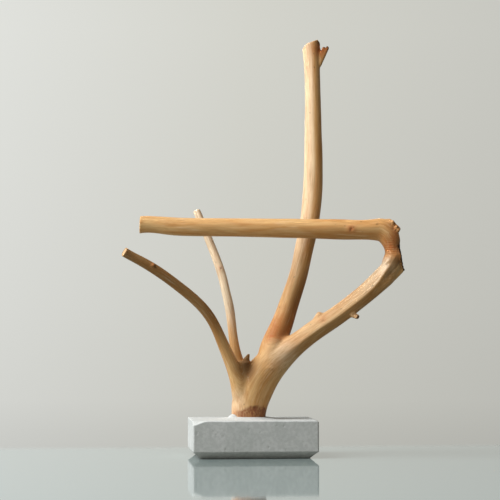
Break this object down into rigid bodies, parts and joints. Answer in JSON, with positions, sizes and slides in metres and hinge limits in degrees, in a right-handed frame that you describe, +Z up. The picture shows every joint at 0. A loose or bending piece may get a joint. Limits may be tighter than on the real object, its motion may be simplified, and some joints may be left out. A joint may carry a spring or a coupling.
{
  "type": "jewelry stand",
  "caption": "Natural branch fork, debarked and sanded, its foot cast in a chamfered plaster block; its crossbar, upright and twigs hold hung jewelry.",
  "frame": {"origin": "centre of the block's underside, on the table", "axes": "+Z up, +X to the right along the block's long side as seen from its front, +Y to the back"},
  "size_m": [0.2293, 0.09, 0.3428],
  "materials": {
    "plaster": "matt, as cast",
    "wood": "debarked, sanded smooth, satin",
    "screw_steel": "zinc plated"
  },
  "bodies": {
    "root": {"base_block": "plaster", "trunk": "wood", "right_limb": "wood", "crossbar": "wood", "upright": "wood", "front_twig": "wood", "rear_twig": "wood", "anchor_screw_lower": "screw_steel", "anchor_screw_upper": "screw_steel"}
  },
  "joints": []
}
